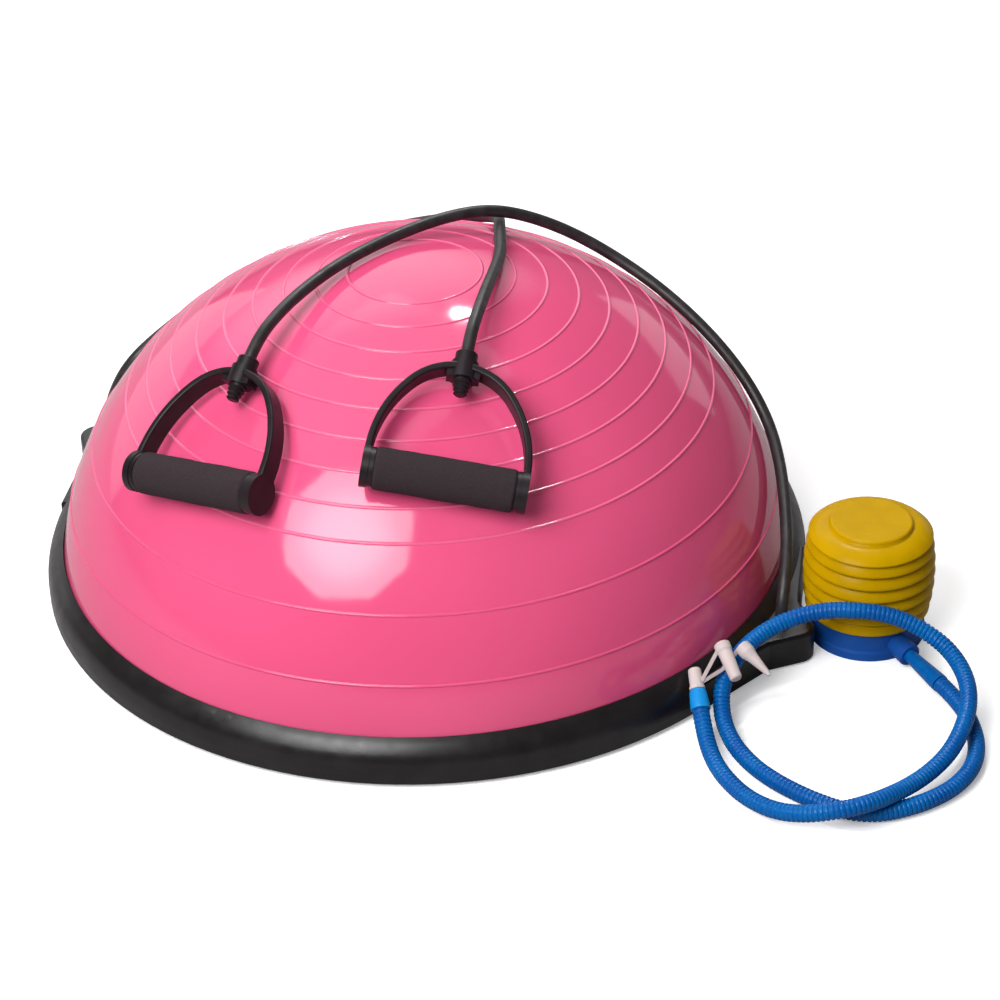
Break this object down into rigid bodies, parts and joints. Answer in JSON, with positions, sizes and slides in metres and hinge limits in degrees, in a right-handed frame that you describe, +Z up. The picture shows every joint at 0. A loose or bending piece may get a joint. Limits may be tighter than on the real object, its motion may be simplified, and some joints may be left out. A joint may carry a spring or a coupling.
{
  "type": "balance dome trainer",
  "caption": "inflated half-ball on a flat round platform, with stretch-tube handles anchored at its rim and a bellows foot pump with hose and nozzles",
  "frame": {"origin": "centre of the platform's underside, on the floor", "axes": "+Z up from the floor to the crown of the dome; -Y towards the side where the handles lie; +X towards the pump"},
  "size_m": [0.6696, 0.6557, 0.262],
  "materials": {
    "dome_pink": "glossy inflated PVC",
    "base_black": "satin moulded plastic",
    "screw_steel": "zinc plated",
    "foot_rubber": "matt",
    "nozzle_white": "satin moulded plastic",
    "handle_black": "satin moulded plastic",
    "core_plastic": "satin",
    "grip_foam": "matt closed-cell foam",
    "tube_rubber": "satin latex tube",
    "pump_yellow": "satin",
    "pump_blue": "satin",
    "spring_steel": "drawn wire",
    "hose_blue": "ribbed flexible PVC",
    "cuff_blue": "satin"
  },
  "bodies": {
    "base": {"base_platform": "base_black", "rim_ring": "base_black", "clamp_screws": "screw_steel", "rubber_feet": "foot_rubber", "centre_foot": "foot_rubber", "dome_bladder": "dome_pink", "valve_grommet": "foot_rubber", "tube_stopper_left": "handle_black", "resistance_tube_left": "tube_rubber", "tube_stopper_right": "handle_black", "resistance_tube_right": "tube_rubber", "pump_base": "pump_blue", "pump_bellows": "pump_yellow", "pump_spring": "spring_steel", "outlet_stub": "pump_blue", "hose_cuff": "hose_blue", "pump_hose": "hose_blue", "hose_end_cuff": "cuff_blue", "end_nozzle": "nozzle_white", "nozzle_strap": "nozzle_white", "peg_nozzle": "nozzle_white", "cone_nozzle": "nozzle_white"},
    "plug": {"valve_plug": "nozzle_white"},
    "cap": {"pump_cap": "pump_yellow"},
    "air_in": {"inlet_flap": "tube_rubber"},
    "air_out": {"outlet_flap": "tube_rubber"},
    "handle_left": {"handle_left_frame": "handle_black", "handle_left_ferrule": "handle_black", "handle_left_plug": "handle_black"},
    "grip_left": {"handle_left_core": "core_plastic", "handle_left_foam": "grip_foam", "handle_left_end_caps": "handle_black"},
    "handle_right": {"handle_right_frame": "handle_black", "handle_right_ferrule": "handle_black", "handle_right_plug": "handle_black"},
    "grip_right": {"handle_right_core": "core_plastic", "handle_right_foam": "grip_foam", "handle_right_end_caps": "handle_black"}
  },
  "joints": [
    {"name": "handle_left_lift", "type": "hinge", "parent": "base", "child": "handle_left", "pos_m": [-0.11848, -0.09004, 0.23116], "axis": [-0.7986, 0.5819, -0.1539], "range_deg": [0, 45]},
    {"name": "grip_left_spin", "type": "hinge", "parent": "handle_left", "child": "grip_left", "pos_m": [-0.1567, -0.1578, 0.17322], "axis": [0.7986, -0.5819, 0.1539], "continuous": true},
    {"name": "handle_right_lift", "type": "hinge", "parent": "base", "child": "handle_right", "pos_m": [0.03334, -0.11998, 0.24482], "axis": [-0.9768, 0.1337, 0.1671], "range_deg": [0, 45]},
    {"name": "grip_right_spin", "type": "hinge", "parent": "handle_right", "child": "grip_right", "pos_m": [0.01363, -0.19992, 0.19354], "axis": [0.9768, -0.1337, -0.1671], "continuous": true},
    {"name": "pump_press", "type": "slide", "parent": "base", "child": "cap", "axis": [0, 0, 1], "range_m": [-0.045, 0], "stiffness_N_per_m": 400, "springref_m": 0.01, "deforming": ["pump_bellows", "pump_spring"]},
    {"name": "valve_plug_pull", "type": "slide", "parent": "base", "child": "plug", "axis": [0, 0, -1], "range_m": [0, 0.012]},
    {"name": "inlet_flap_lift", "type": "slide", "parent": "base", "child": "air_in", "axis": [0, 0, 1], "range_m": [0, 0.0015], "stiffness_N_per_m": 20},
    {"name": "outlet_flap_lift", "type": "slide", "parent": "base", "child": "air_out", "axis": [0.4067, -0.9136, 0], "range_m": [0, 0.0015], "stiffness_N_per_m": 20}
  ]
}
